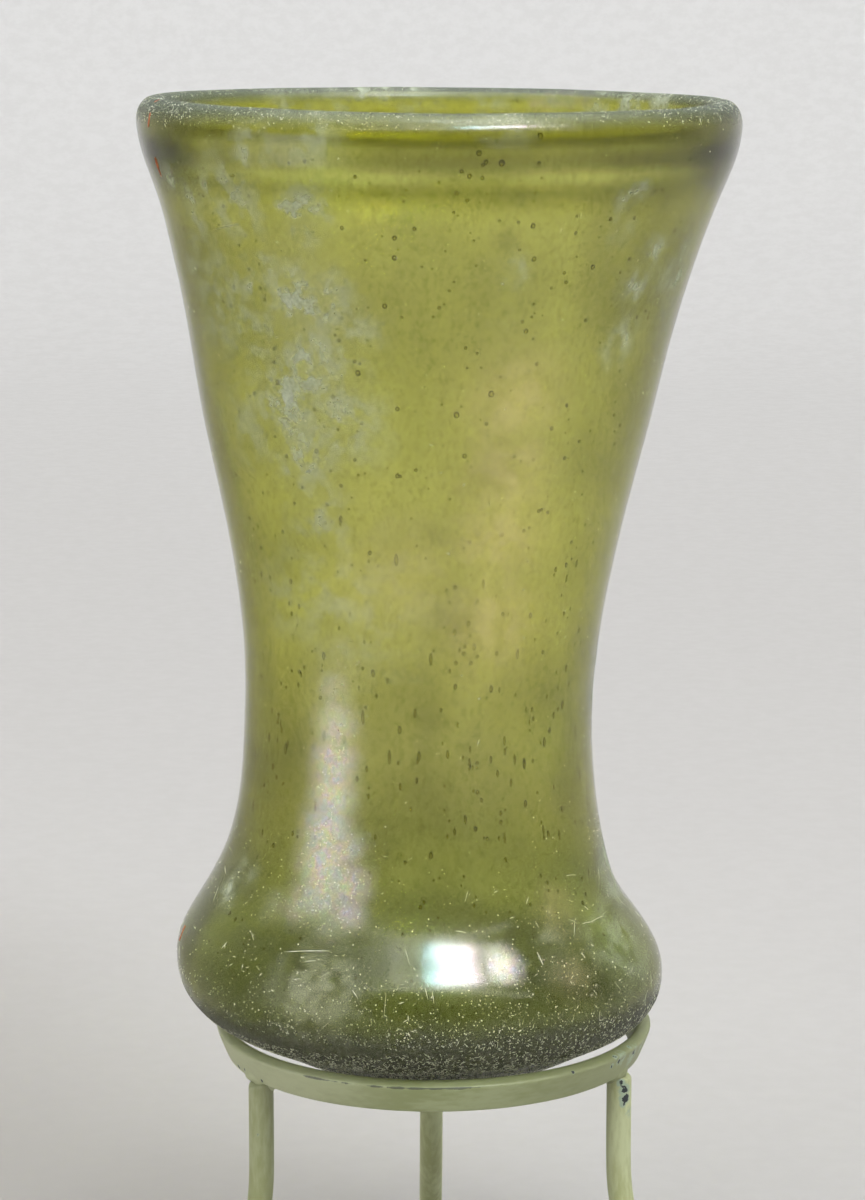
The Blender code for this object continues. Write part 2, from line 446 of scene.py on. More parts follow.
def round_the_glass(angle, height):
    """The point of the outer wall at an angle from the front and a height, with its normal."""
    away = Vector((math.sin(angle), -math.cos(angle), 0.0))
    start = away * 2 * cad_high.x + Vector((0.0, 0.0, height))
    point, normal, face, distance = glass_surface.ray_cast(start, -away)
    return point, normal


def any_angle():
    """A seeded random angle round the glass."""
    return chance.uniform(-math.pi, math.pi)


def wall_behind(point, normal):
    """Thickness of the wall behind a point of its outer face."""
    inner = glass_surface.ray_cast(point - normal * 0.01 * MM, -normal)
    return inner[3] if inner[0] is not None else 0.0


front_point, front_normal = seen_on_glass(*FRONT_PIXEL)
print("wall at the front in mm:", round(wall_behind(front_point, front_normal) / MM, 2))

# %% [markdown]
# Real glass takes its colour from its depth, and so does this one: Volume Absorption inside the
# closed mesh eats blue light fastest, so thin walls look yellow-green and the thick lip olive.
# Values painted on the points say how clear the surface is, which falls off towards the bottom,
# where it leans to green, where a gold tint lies on a band of painted light, and how dull it is,
# because the ground has roughened the inside more than the outside. Each is a gradient over height
# with soft dabs laid on it. The clearness carries painted light and shade as well: its dabs brighten
# and darken patches of the wall, and its close steps under the lip paint bands of light and shade.

# %% Painting on points
SPINE_FOOT = 0.052
AXIS_COLUMN = 434
CRUST_TOP_ROW, CRUST_FULL_ROW, BULGE_TOP_ROW, LIP_BAND_ROW = 1030, 1050, 935, 132
CRUST_TOP, CRUST_FULL, BULGE_TOP, LIP_BAND = (
    seen_on_glass(AXIS_COLUMN, row)[0].z
    for row in (CRUST_TOP_ROW, CRUST_FULL_ROW, BULGE_TOP_ROW, LIP_BAND_ROW)
)
print("crust from", round(CRUST_TOP / MM, 1), "mm down; bulge from", round(BULGE_TOP / MM, 1), "mm down")


def facing_inside(places, normals):
    """1 on the inner face of the wall, 0 on the outer one, and a soft turn over the lip."""
    spine = places * (0.0, 0.0, 1.0)
    spine[:, 2] = np.maximum(spine[:, 2], SPINE_FOOT)
    away = places - spine
    away /= np.linalg.norm(away, axis=1)[:, None]
    return smooth_step(-(away * normals).sum(axis=1), -0.2, 0.3)


def dab(places, centre, radius, strength):
    """A soft spot round a place."""
    apart = np.linalg.norm(places - np.array(centre), axis=1)
    return strength * np.exp(-((apart / radius) ** 2))


def strongest(places, dabs):
    """The dabs at their pixels, each point taking the strongest."""
    total = np.zeros(len(places))
    for x, y, radius, strength in dabs:
        total = np.maximum(total, dab(places, seen_on_glass(x, y)[0], radius * MM, strength))
    return total


def near_lip(places):
    """1 on the thick rounded lip and 0 below it."""
    return smooth_step(places[:, 2], LIP_BAND - 0.5 * MM, LIP_BAND + 2.5 * MM)


# %% Clearness of the glass
# Clearness by height. Its close steps under the lip paint bands of light and shade.
CLEARNESS_AND_PAINTED_SHADE = (
    (0.034, 0.66), (0.045, 0.73), (0.05, 0.8), (0.055, 0.76), (0.059, 0.72), (0.066, 0.785), (0.085, 0.835),
    (0.105, 0.95), (0.125, 0.9), (0.145, 0.79), (0.1552, 0.88), (0.156, 0.86), (0.157, 0.8), (0.1578, 0.86),
    (0.1588, 1), (0.1597, 1), (0.1603, 0.88), (0.1609, 0.6), (0.1616, 0.42), (0.1624, 0.41), (0.1637, 0.53),
    (0.165, 0.73), (0.166, 0.93), (0.1669, 1), (0.1676, 0.92), (0.1686, 0.8),
)
# Painted light: these dabs brighten patches of the wall.
PAINTED_LIGHT_DABS = (
    (320, 168, 4.5, 0.34), (250, 160, 5, 0.26), (200, 152, 4, 0.16), (320, 188, 3.5, 0.22),
    (560, 250, 5, 0.13), (555, 310, 5, 0.1), (520, 400, 6, 0.09), (500, 500, 7, 0.09), (490, 620, 7, 0.08),
    (240, 400, 8, 0.1), (168, 160, 4, 0.06), (225, 300, 8, 0.12), (250, 500, 7, 0.06), (390, 172, 3, 0.06),
    (275, 600, 8, 0.07), (400, 590, 8, 0.05), (615, 945, 8, 0.3), (590, 900, 7, 0.2), (570, 860, 6, 0.09),
    (425, 1000, 8, 0.05), (590, 985, 8, 0.2), (265, 985, 8, 0.17), (265, 948, 6, 0.12), (628, 1010, 5, 0.16),
    (250, 1028, 6, 0.12), (500, 1000, 8, 0.06),
)
# Gold tint on a band of painted light down the wall, right of the middle.
GOLDEN_LIGHT_DABS = (
    (515, 400, 6, 1), (508, 470, 6, 1), (500, 540, 6.5, 1), (492, 620, 6.5, 1), (400, 580, 8, 0.7),
)
GREEN_DABS = (
    (168, 160, 4, 0.45), (320, 170, 6, 0.35), (618, 945, 7, 1), (640, 965, 5, 0.8), (580, 880, 6, 0.4),
    (560, 740, 6, 0.25),
)
DULL_DABS = (
    (335, 700, 6, 0.16), (332, 750, 7, 0.22), (328, 810, 7, 0.24), (322, 870, 7, 0.24), (325, 925, 6, 0.22),
    (300, 300, 9, 0.2), (295, 380, 9, 0.2), (300, 460, 9, 0.18), (312, 995, 7, 0.26), (285, 985, 5, 0.2),
    (465, 962, 6, 0.05),
)
DULL_OUTSIDE = 0.14
MORE_DULL = 0.10
DULLEST = 0.265
CLOUDINESS = 0.09
GREENER = 0.45
GREENER_HEIGHTS = 0.072, 0.056
# Painted shade: these dabs darken patches of the wall and of the lip.
PAINTED_SHADE_DABS = (
    (440, 137, 9, 0.04), (162, 118, 4, 0.25), (620, 165, 5, 0.06), (690, 152, 6, 0.1), (390, 210, 4, 0.16),
    (650, 205, 8, 0.23), (715, 160, 5, 0.12), (680, 240, 6, 0.12), (510, 240, 1.6, 0.4), (185, 940, 4, 0.2),
    (200, 905, 4, 0.16), (245, 885, 7, 0.13),
)
places, normals = point_arrays(glass)
inner_face = facing_inside(places, normals)
cloudy = cloud_values(places * (1.0, 1.0, 0.5), 0.005)
clear = np.interp(places[:, 2], *zip(*CLEARNESS_AND_PAINTED_SHADE))
clear *= 1.0 - CLOUDINESS * smooth_step(cloudy, -0.6, 0.6)
clear += strongest(places, PAINTED_LIGHT_DABS) - strongest(places, PAINTED_SHADE_DABS)
paint_points(glass, "clear", clear)
paint_points(glass, "golden_light", strongest(places, GOLDEN_LIGHT_DABS))
lip = near_lip(places)
greener = GREENER * np.maximum(lip, smooth_step(places[:, 2], *GREENER_HEIGHTS))
paint_points(glass, "greenish", np.maximum(strongest(places, GREEN_DABS), greener))
dull = DULL_OUTSIDE + MORE_DULL * (inner_face + lip) + strongest(places, DULL_DABS)
paint_points(glass, "dull", np.minimum(dull * (1.0 + 0.2 * cloudy), DULLEST))
print("share of inner points:", round(float(inner_face.mean()), 2))
print("mean clearness:", round(float(clear.mean()), 2))

# %% Olive glass
GLASS_IOR = 1.52
ABSORPTION_DENSITY = 680.0
ABSORPTION_COLOUR = rgba(0.88, 0.882, 0.105)

olive, tree, shader, place = start_material("olive_glass")
set_inputs(tree, shader, Transmission_Weight=1.0, Metallic=0.0, IOR=GLASS_IOR)
grain = noise(tree, stretched(tree, place, (1.0, 1.0, 0.6)), 0.0007, 2.0, 0.6)
tint = mix_colours(tree, fade(tree, grain, 0.46, 0.72), rgba(1.0, 1.0, 1.0), rgba(0.78, 0.80, 0.72))
# The gold tint of the painted band of light.
tint = mix_colours(tree, times(tree, painted(tree, "golden_light"), 0.05), tint, rgba(1.0, 0.1, 0.3))
tint = mix_colours(tree, times(tree, painted(tree, "greenish"), 0.16), tint, rgba(0.0, 1.0, 0.5))
# The clearness, with its painted light and shade, multiplies the tint.
worn = mix_colours(tree, 1.0, tint, painted(tree, "clear"), "MULTIPLY")
set_inputs(tree, shader, Base_Color=worn, Roughness=painted(tree, "dull"))
depth = add_node(tree, "ShaderNodeVolumeAbsorption")
absorbed = set_inputs(tree, depth, Color=ABSORPTION_COLOUR, Density=ABSORPTION_DENSITY)["Volume"]
set_inputs(tree, tree.nodes["Material Output"], Volume=absorbed)
glass.data.materials.append(olive)

# %% [markdown]
# Seed bubbles stay in glass that was never hot enough to let them rise. They're round near the lip
# and drawn out lengthways at the waist, where the glass was pulled. One small ball is modelled,
# and each bubble is a copy of it, set in the middle of the wall, turned and stretched. The bubbles
# that the photograph shows large are placed by their pixels, and the small ones are scattered.

# %% Seed bubbles
SEEN_BUBBLES = (
    (492, 395, 0.8), (457, 416, 0.75), (357, 374, 0.7), (276, 383, 0.65), (465, 457, 0.6), (397, 410, 0.55),
    (397, 477, 0.55), (315, 452, 0.6), (332, 398, 0.55), (480, 155, 0.7), (487, 164, 0.6), (503, 165, 0.8),
    (462, 173, 0.5), (470, 178, 0.6), (483, 180, 0.5), (499, 143, 0.5), (543, 135, 0.7), (457, 195, 0.5),
    (534, 227, 0.65), (612, 220, 0.5), (636, 219, 0.5), (577, 234, 0.45), (535, 260, 0.65), (594, 268, 0.65),
    (394, 239, 0.6), (394, 259, 0.65), (414, 230, 0.5), (341, 229, 0.5), (384, 307, 0.65), (302, 163, 0.45),
    (527, 332, 0.6), (466, 349, 0.45), (568, 406, 0.5), (553, 429, 0.55), (566, 459, 0.5), (253, 394, 0.5),
    (307, 472, 0.5), (285, 457, 0.5), (301, 488, 0.4), (354, 461, 0.45), (540, 512, 0.5), (503, 536, 0.5),
)
DRAWN_BUBBLES = (
    (431, 660, 0.4, 4.5), (389, 758, 0.4, 5), (362, 718, 0.4, 5), (396, 561, 0.5, 3.5), (470, 765, 0.4, 4.5),
    (519, 655, 0.4, 3.5), (419, 757, 0.4, 3.5), (475, 648, 0.4, 2.5), (516, 760, 0.35, 4.5),
    (526, 765, 0.35, 4), (448, 755, 0.4, 3), (492, 760, 0.35, 3), (506, 752, 0.35, 3), (415, 714, 0.4, 3),
    (343, 740, 0.4, 3), (466, 820, 0.35, 3.5), (545, 830, 0.35, 4), (561, 835, 0.35, 4),
    (506, 838, 0.35, 4.5), (340, 520, 0.4, 2.5), (484, 585, 0.35, 4), (578, 564, 0.35, 3.5),
    (568, 579, 0.35, 3), (339, 523, 0.4, 3),
)
BUBBLES_PER_BAND = 140
BUBBLE_BANDS = 11
BUBBLE_WIDTHS = (0.24, 0.28, 0.33, 0.38, 0.48)
BUBBLE_LOWEST, BUBBLE_SPAN = 0.056, 0.106
DRAWN_LEVEL = 0.28


def turned(point, normal, along, size):
    """Sets a model at a point: its Z along a direction and its Y along the wall's normal."""
    side = normal.cross(along).normalized()
    turn = Matrix((side, normal, side.cross(normal))).transposed().to_4x4()
    return Matrix.Translation(point) @ turn @ Matrix.Diagonal((*size, 1.0))


def scatter(name, model, settings):
    """One piece with a copy of the model at each setting. The model itself goes."""
    corners = np.array([(*vertex.co, 1.0) for vertex in model.data.vertices])
    faces = [list(face.vertices) for face in model.data.polygons]
    vertices = np.vstack([corners @ np.array(setting).T[:, :3] for setting in settings])
    starts = range(0, len(vertices), len(corners))
    polygons = [[start + index for index in face] for start in starts for face in faces]
    mesh = bpy.data.meshes.new(name)
    mesh.from_pydata(vertices.tolist(), [], polygons)
    piece = new_object(name, mesh)
    bpy.data.objects.remove(model)
    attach(piece, "root")
    print(name, "copies:", len(settings), "faces:", len(polygons))
    return piece


def bubble_setting(spot, width, stretch, share=0.5):
    """A bubble inside the wall behind a spot of its outer face, no wider than the wall lets it."""
    point, normal = spot
    wall = wall_behind(point, normal)
    width = min(width, 0.5 * wall)
    return turned(point - normal * (wall * share), normal, UP, (width, width, stretch * width))


ball = add_shape(bpy.ops.mesh.primitive_uv_sphere_add, segments=8, ring_count=6, radius=0.5)
chance = random.Random(8)
bubbles = [bubble_setting(seen_on_glass(x, y), width * MM, 1.1, 0.35) for x, y, width in SEEN_BUBBLES]
for x, y, width, stretch in DRAWN_BUBBLES:
    bubbles.append(bubble_setting(seen_on_glass(x, y), width * MM, stretch, 0.35))
for band in range(BUBBLE_BANDS):
    for count in range(BUBBLES_PER_BAND):
        level = (band + chance.random()) / BUBBLE_BANDS
        spot = round_the_glass(any_angle(), BUBBLE_LOWEST + level * BUBBLE_SPAN)
        drawn = 1.0 + 2.6 * max(0.0, 1.0 - abs(level - DRAWN_LEVEL) / DRAWN_LEVEL) * chance.random()
        width = chance.choice(BUBBLE_WIDTHS) * MM
        bubbles.append(bubble_setting(spot, width, drawn, chance.uniform(0.3, 0.6)))
seeds = scatter("seed_bubbles", ball, bubbles)
shade_smooth(seeds)

# %% Bubble material
bubble_air, tree, shader, place = start_material("bubble_air")
set_inputs(tree, shader, Transmission_Weight=1.0, IOR=1.25, Roughness=0.02)
# The bubble's colour darkens towards its rim as the camera sees it: painted shade for its dark ring.
rim = set_inputs(tree, add_node(tree, "ShaderNodeLayerWeight"), Blend=0.5)
edge = fade(tree, rim["Facing"], 0.05, 0.45)
shade = mix_colours(tree, edge, rgba(0.80, 0.78, 0.45), rgba(0.02, 0.02, 0.01))
set_inputs(tree, shader, Base_Color=shade)
seeds.data.materials.append(bubble_air)

# %% [markdown]
# A thin crust of weathered glass covers parts of the beaker: milk on the upper wall, mother-of-pearl
# where the ground ate thin layers, a golden sheen, a grey haze on the lip, and grime underneath,
# where it stood. A copy of the glass is painted with these five values. Where none of them shows it
# is cut away, and the rest is lifted a few hundredths of a millimetre off the wall and made a thin
# closed sheet. Haze, pearl and grime cover more than a quarter wherever they're grainy, because
# the denoiser draws an outline round each grain that comes and goes across that share.
# Part of the milk is painted highlight and reflection, and the sheen lies on a band of painted light.

# %% Weathering skin
skin = new_object("weathering_and_highlight_skin", glass.data.copy())
skin.data.materials.clear()
# Milky weathering, and a few dabs of painted highlight and reflection: on the front of the lip,
# over the arc above the bright patch, and on the bulge low on the left and low on the right.
MILK_AND_HIGHLIGHT_DABS = (
    (189, 203, 1.8, 1), (171, 180, 1.6, 0.7), (208, 187, 1.6, 0.6), (230, 193, 2, 0.5), (300, 213, 3, 1),
    (263, 268, 2.5, 0.5), (297, 301, 3.5, 1), (322, 299, 3, 0.9), (250, 284, 2, 0.5), (193, 266, 1.5, 0.4),
    (218, 293, 1.6, 0.4), (285, 400, 3.5, 1), (300, 455, 4, 0.6), (310, 365, 4, 0.8), (320, 520, 4, 0.4),
    (638, 191, 1.6, 0.6), (626, 199, 1.6, 0.5), (622, 229, 1.6, 0.5), (654, 251, 1.6, 0.8),
    (666, 274, 1.8, 0.6), (677, 278, 1.8, 0.7), (636, 284, 2.2, 0.6), (668, 303, 1.8, 0.7),
    (685, 250, 1.8, 0.7), (620, 340, 2.5, 0.6), (515, 270, 1.5, 0.5), (305, 132, 4, 0.35), (250, 150, 3, 0.5),
    (230, 195, 5, 0.5), (250, 420, 6, 0.25), (345, 600, 9, 0.25), (505, 120, 3, 0.25), (622, 945, 6, 0.22),
    (230, 890, 2, 0.6), (245, 875, 2, 0.5), (548, 932, 2.5, 0.15), (315, 997, 6, 0.24), (290, 600, 5, 0.2),
    (200, 235, 3, 0.35), (350, 340, 4, 0.4), (340, 420, 5, 0.5), (225, 300, 7, 0.35), (250, 335, 6, 0.3),
)
LUSTRE_DABS = (
    (334, 690, 3, 0.5), (336, 725, 3.5, 0.8), (334, 760, 3.5, 1), (332, 795, 3.5, 1), (326, 830, 3.8, 1),
    (322, 862, 4, 1), (320, 895, 4, 0.9), (330, 922, 3.5, 0.5), (347, 850, 2.8, 0.8), (350, 885, 3, 1),
    (347, 912, 2.8, 0.8), (300, 905, 3, 0.7), (505, 966, 2.6, 0.7), (575, 925, 4, 0.25), (560, 965, 4, 0.25),
    (345, 650, 3.5, 0.35), (275, 905, 3, 0.4),
)
INSIDE_DABS = (
    (535, 103, 1.2, 0.8), (552, 103, 1.4, 1), (570, 102, 1.3, 0.9), (585, 101, 1, 0.6), (275, 102, 1, 0.3),
)
# Milk inside the far wall, and a row of dabs along the far rim that paints its highlight.
INSIDE_MILK_AND_HIGHLIGHT = (
    (335, 90, 1.6, 0.8), (360, 89, 1.8, 0.9), (385, 89, 1.8, 0.9), (410, 89, 1.6, 0.8), (290, 103, 3, 0.4),
    (350, 104, 3, 0.35), (420, 105, 3, 0.3), (490, 104, 3, 0.35), (600, 103, 2.5, 0.8), (630, 103, 2.5, 1),
    (660, 102, 2.5, 0.8),
)
# The golden sheen lies on the painted band of light and on two brownish spots, and low on the
# left of the bulge it paints a reflection.
SHEEN_AND_REFLECTION_DABS = GOLDEN_LIGHT_DABS + ((555, 912, 3, 0.8), (572, 977, 3, 0.5), (316, 996, 5, 0.25))
BACK_DABS = 34
BACK_TURN = math.radians(75), math.radians(285)
BACK_HEIGHTS = 0.055, 0.16
CREST = 0.1655, 0.1675
SIDE_DROP = 2.2 * MM

places, normals = point_arrays(skin)
outside = 1.0 - facing_inside(places, normals)
milk_and_highlights = strongest(places, MILK_AND_HIGHLIGHT_DABS)
lustre = smooth_step(strongest(places, LUSTRE_DABS), 0.05, 0.95)
pearly = [(seen_on_glass(x, y)[0], radius, strength) for x, y, radius, strength in LUSTRE_DABS]
chance = random.Random(21)
for count in range(BACK_DABS):
    centre, normal = round_the_glass(chance.uniform(*BACK_TURN), chance.uniform(*BACK_HEIGHTS))
    spot = dab(places, centre, chance.uniform(1.8, 4.5) * MM, chance.uniform(0.4, 0.9))
    if count % 4 == 0:
        pearly.append((centre, 3.0, 0.8))
        lustre = np.maximum(lustre, spot)
    else:
        milk_and_highlights = np.maximum(milk_and_highlights, spot)
milk_and_highlights = np.maximum(milk_and_highlights * outside, strongest(places, INSIDE_MILK_AND_HIGHLIGHT))
lustre = np.maximum(lustre * outside, strongest(places, INSIDE_DABS))
sideways = places[:, 0] ** 2 / (places[:, 0] ** 2 + places[:, 1] ** 2 + 1e-9)
crust_level = places[:, 2] + 0.9 * MM * cloud_values(places, 0.003) + SIDE_DROP * sideways
grime = outside * smooth_step(crust_level, CRUST_TOP + MM, CRUST_FULL)
haze = near_lip(places) * np.maximum(outside, smooth_step(places[:, 2], *CREST))
sheen_and_reflection = outside * strongest(places, SHEEN_AND_REFLECTION_DABS)
painted_values = {"milk_and_highlights": milk_and_highlights, "lustre": lustre, "sheen_and_reflection": sheen_and_reflection, "grime": grime, "haze": haze}
for name, values in painted_values.items():
    paint_points(skin, name, values)
    print(name, "covers", round(float((values > 0.1).mean()), 3), "of the points")

# %% Cutting the skin
SKIN_GAP = 0.04 * MM
SKIN_THICKNESS = 0.02 * MM
LEAST_SHOWN = 0.05
shown = np.maximum.reduce(list(painted_values.values()))
select_only(skin)
select_parts(skin, "polygons", lambda face: max(shown[v] for v in face.vertices) < LEAST_SHOWN)
bpy.ops.mesh.delete(type="FACE")
bpy.ops.mesh.select_all(action="SELECT")
bpy.ops.transform.shrink_fatten(value=SKIN_GAP)
bpy.ops.object.mode_set(mode="OBJECT")
apply_modifier(skin, "SOLIDIFY", thickness=SKIN_THICKNESS, offset=-1.0)
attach(skin, "root")
print("skin faces:", len(skin.data.polygons))

# %% Shader groups
PEARL_STOPS = (
    (0.32, (0.62, 0.81, 0.84)), (0.41, (0.76, 0.70, 0.87)), (0.47, (0.92, 0.69, 0.73)),
    (0.53, (0.91, 0.87, 0.52)), (0.60, (0.66, 0.87, 0.60)), (0.68, (0.82, 0.85, 0.87)),
)


def new_group(name, numbers, outputs, kind="NodeSocketFloat"):
    """A shader group with a Position, named numbers and named outputs."""
    group = bpy.data.node_groups.new(name, "ShaderNodeTree")
    group.interface.new_socket("Position", in_out="INPUT", socket_type="NodeSocketVector")
    for number, value in numbers.items():
        socket = group.interface.new_socket(number, in_out="INPUT", socket_type="NodeSocketFloat")
        socket.default_value = value
    for output in outputs:
        group.interface.new_socket(output, in_out="OUTPUT", socket_type=kind)
    return group, add_node(group, "NodeGroupInput").outputs, add_node(group, "NodeGroupOutput").inputs


def use_group(tree, group, position, **numbers):
    """Places a group in a material with its own values."""
    node = add_node(tree, "ShaderNodeGroup", node_tree=group)
    return set_inputs(tree, node, Position=position, **numbers)


pearly_colours, given, result = new_group(
    "mother_of_pearl", {"Size": 0.003, "Detail": 3.0, "Roughness": 0.5}, ("Color",), "NodeSocketColor"
)
ramp = add_node(pearly_colours, "ShaderNodeValToRGB")
layers = noise(pearly_colours, given["Position"], given["Size"], given["Detail"], given["Roughness"])
feed(pearly_colours, ramp.inputs["Fac"], layers)
for index, (position, colour) in enumerate(PEARL_STOPS):
    if index > 1:
        ramp.color_ramp.elements.new(position)
    ramp.color_ramp.elements[index].position = position
    ramp.color_ramp.elements[index].color = rgba(*colour)
feed(pearly_colours, result["Color"], ramp.outputs["Color"])

crushed, given, result = new_group("crushed_grain", {"First Pale": 0.44}, ("Tone",))
grain = noise(crushed, given["Position"], 0.0008, 3.0, 0.7)
last_pale = calculate(crushed, "ADD", given["First Pale"], 0.16)
feed(crushed, result["Tone"], fade(crushed, grain, given["First Pale"], last_pale))
print("groups:", [group.name for group in bpy.data.node_groups])

# %% Weathering material
MILK_AND_HIGHLIGHT_PALE = rgba(0.88, 0.95, 0.72)
MILK_AND_HIGHLIGHT_DULL = rgba(0.60, 0.68, 0.48)
HAZE = rgba(0.21, 0.26, 0.20)
GRIME = rgba(0.085, 0.09, 0.055)
GRIT = rgba(0.55, 0.57, 0.42)
GOLD = rgba(0.98, 0.84, 0.40)


def largest(tree, *values):
    """The largest of several masks."""
    return functools.reduce(lambda first, second: calculate(tree, "MAXIMUM", first, second), values)


def share_of(tree, part, rest):
    """How much of the whole one mask makes up."""
    whole = calculate(tree, "ADD", calculate(tree, "ADD", part, rest), 0.001)
    return calculate(tree, "DIVIDE", part, whole)


film, tree, shader, place = start_material("weathering_and_highlight_film")
speck = fade(tree, noise(tree, place, 0.0005, 3.0, 0.7), 0.35, 0.65)
cloud = fade(tree, noise(tree, place, 0.003, 3.0, 0.6), 0.40, 0.62, 0.12, 1.0)
# Milk, with the dabs that paint highlights and reflections.
milk_and_highlight_mask = times(tree, painted(tree, "milk_and_highlights"), cloud, 0.80)
grainy = fade(tree, speck, 0.0, 1.0, 0.27, 0.36)
haze_mask = times(tree, painted(tree, "haze"), grainy)
pearl_mask = times(tree, painted(tree, "lustre"), grainy)
# Sheen film, partly a painted reflection.
sheen_and_reflection_mask = times(tree, painted(tree, "sheen_and_reflection"), fade(tree, cloud, 0.0, 1.0, 0.10, 0.24))
grime_mask = times(tree, painted(tree, "grime"), fade(tree, speck, 0.0, 1.0, 0.34, 0.46))
film_alpha = largest(tree, milk_and_highlight_mask, haze_mask, pearl_mask, sheen_and_reflection_mask, grime_mask)
broad, narrow = (use_group(tree, pearly_colours, place, Size=size)["Color"] for size in (0.003, 0.0012))
pearl = mix_colours(tree, 0.5, broad, narrow)
milk_and_highlight = mix_colours(tree, speck, MILK_AND_HIGHLIGHT_DULL, MILK_AND_HIGHLIGHT_PALE)
colour = mix_colours(tree, share_of(tree, haze_mask, milk_and_highlight_mask), milk_and_highlight, HAZE)
grit = mix_colours(tree, fade(tree, speck, 0.5, 1.0, 0.0, 0.45), GRIME, GRIT)
colour = mix_colours(tree, share_of(tree, grime_mask, largest(tree, milk_and_highlight_mask, haze_mask)), colour, grit)
shining = largest(tree, pearl_mask, sheen_and_reflection_mask)
is_pearl = share_of(tree, shining, largest(tree, milk_and_highlight_mask, haze_mask, grime_mask))
shine = mix_colours(tree, share_of(tree, sheen_and_reflection_mask, pearl_mask), pearl, GOLD)
colour = mix_colours(tree, is_pearl, colour, shine)
satin = fade(tree, is_pearl, 0.0, 1.0, 0.6, 0.38)
metallic = times(tree, is_pearl, 0.6)
set_inputs(tree, shader, Alpha=film_alpha, Base_Color=colour, Metallic=metallic, Roughness=satin)
skin.data.materials.append(film)

# %% [markdown]
# Flecks are real chips, because they're crisp at any distance: pale crumbs on the lip and on the
# bulge, flakes where the pearl lies, and a mat of short strokes underneath, where the glass stood
# and was worn. One flat pyramid is modelled, and each fleck is a copy of it, lying on the wall,
# turned at random.

# %% Flecks
UNDERSIDE_STROKES = 18000
BULGE_FLECKS = 12000
LIP_FLECKS = 8000
WALL_FLECKS = 2200
SHOULDER_FLECKS = 1200
FLAKES_PER_AREA = 4
FLECK_LIFT = 0.045 * MM
FLECK_HEIGHT = 0.1 * MM
UNDERSIDE_RADIUS = 32.5 * MM
SHOULDER_REACH = 12 * MM
LIP_REACH = 40.1 * MM


def off_axis(angle, radius, height):
    """A place at an angle from the front, a radius and a height."""
    return Vector((math.sin(angle) * radius, -math.cos(angle) * radius, height))


def below_the_glass(angle, radius):
    """The point of the underside at an angle and a radius, with its normal."""
    return glass_surface.ray_cast(off_axis(angle, radius, 0.0), UP)[:2]


def above_the_glass(angle, radius):
    """The point of the lip's crest at an angle and a radius, with its normal."""
    return glass_surface.ray_cast(off_axis(angle, radius, 2 * cad_high.z), -UP)[:2]


LAID_DOWN = (-math.pi / 2, 0.0, 0.0)
pyramid = add_shape(bpy.ops.mesh.primitive_cone_add, vertices=4, radius1=0.5, depth=0.5, rotation=LAID_DOWN)
bpy.ops.object.transform_apply(rotation=True)


def fleck_setting(spot, length, width):
    """A flat pyramid on the wall, turned at random."""
    point, normal = spot
    along = normal.orthogonal()
    along.rotate(Quaternion(normal, chance.uniform(0.0, math.pi)))
    return turned(point + normal * FLECK_LIFT, normal, along, (width * MM, FLECK_HEIGHT, length * MM))


def scattered_fleck(spot):
    """A fleck of a size that varies: mostly dots, some chips, and a few that are long and thin."""
    kind = chance.random()
    if kind < 0.74:
        size = chance.uniform(0.10, 0.18)
        return fleck_setting(spot, size, 0.9 * size)
    if kind < 0.95:
        return fleck_setting(spot, chance.uniform(0.18, 0.32), chance.uniform(0.14, 0.26))
    return fleck_setting(spot, chance.uniform(0.4, 1.1), chance.uniform(0.08, 0.13))


def in_cluster(spot):
    """Whether a fleck is kept: they gather in clusters a few millimetres wide."""
    if spot[0] is None:
        return False
    return chance.random() < 0.50 + 0.8 * fractal(spot[0] / (2.2 * MM), 1.0, 2.0, 3)


def in_crust(spot):
    """Whether a spot lies under the crust's edge, which hangs lower at the two sides."""
    point = spot[0]
    return point is not None and point.z < CRUST_TOP - SIDE_DROP * (point.x / point.xy.length) ** 2


chance = random.Random(12)
strokes, spots = [], []
for count in range(UNDERSIDE_STROKES):
    spot = below_the_glass(any_angle(), UNDERSIDE_RADIUS * chance.random() ** 0.35)
    if in_crust(spot):
        strokes.append(fleck_setting(spot, chance.uniform(0.2, 0.8), chance.uniform(0.09, 0.17)))
for count in range(BULGE_FLECKS):
    angle = any_angle()
    if chance.random() < 0.15 + 0.85 * math.cos(angle) ** 2:
        height = BULGE_TOP + (CRUST_FULL - BULGE_TOP) * chance.random() ** 0.45
        spots.append(round_the_glass(angle, height))
for count in range(LIP_FLECKS):
    angle = any_angle()
    if chance.random() > 0.50 + 0.40 * abs(math.sin(angle)):
        continue
    if count % 2:
        height = LIP_BAND + (cad_high.z - 0.4 * MM - LIP_BAND) * chance.random() ** 0.7
        spots.append(round_the_glass(angle, height))
    else:
        spots.append(above_the_glass(angle, LIP_REACH - chance.uniform(0.6, 4.0) * MM))
for count in range(WALL_FLECKS):
    spots.append(round_the_glass(any_angle(), chance.uniform(BULGE_TOP, LIP_BAND)))
for count in range(SHOULDER_FLECKS):
    angle = any_angle()
    spots.append(round_the_glass(angle, BULGE_TOP + SHOULDER_REACH * chance.random() ** 2))
crumbs = [scattered_fleck(spot) for spot in spots if in_cluster(spot)]
flakes = []
for centre, radius, strength in pearly:
    for count in range(int(FLAKES_PER_AREA * radius * radius * strength)):
        moved = Vector([chance.gauss(0.0, 0.42 * radius * MM) for axis in range(3)])
        point, normal = glass_surface.find_nearest(centre + moved)[:2]
        flakes.append(fleck_setting((point, normal), chance.uniform(0.12, 0.32), chance.uniform(0.09, 0.16)))
stroke_mat = scatter("worn_underside", pyramid.copy(), strokes)
flake_field = scatter("pearl_flakes", pyramid.copy(), flakes)
crumb_field = scatter("glass_crumbs", pyramid, crumbs)


